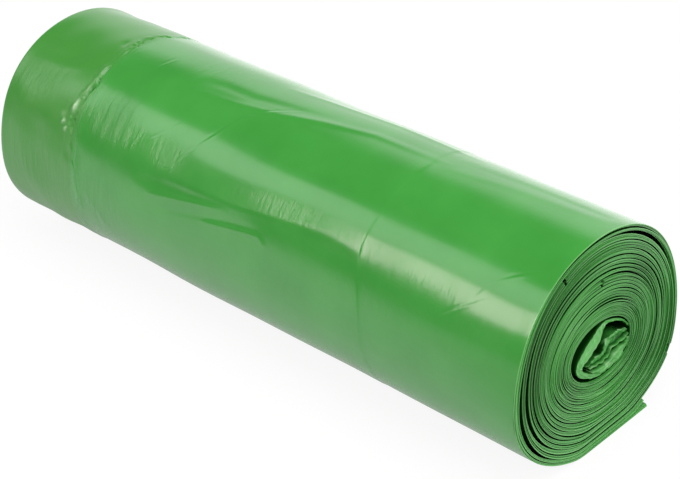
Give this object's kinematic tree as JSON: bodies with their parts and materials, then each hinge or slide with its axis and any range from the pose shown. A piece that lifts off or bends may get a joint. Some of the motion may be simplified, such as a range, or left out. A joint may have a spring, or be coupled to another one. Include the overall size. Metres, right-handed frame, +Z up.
{
  "type": "bin bag roll",
  "caption": "Coreless roll of glossy green polythene bin bags lying on its side, with a crumpled inner end and a loose tail under it.",
  "frame": {"origin": "on the table under the winding axis, halfway along the roll", "axes": "+X along the winding axis towards the end with the open leaves, +Z up, +Y towards the side where the loose tail ends"},
  "size_m": [0.35, 0.1113, 0.1073],
  "materials": {
    "film": "smooth gloss, slightly milky at edges"
  },
  "bodies": {
    "root": {"bag_roll": "film"}
  },
  "joints": []
}
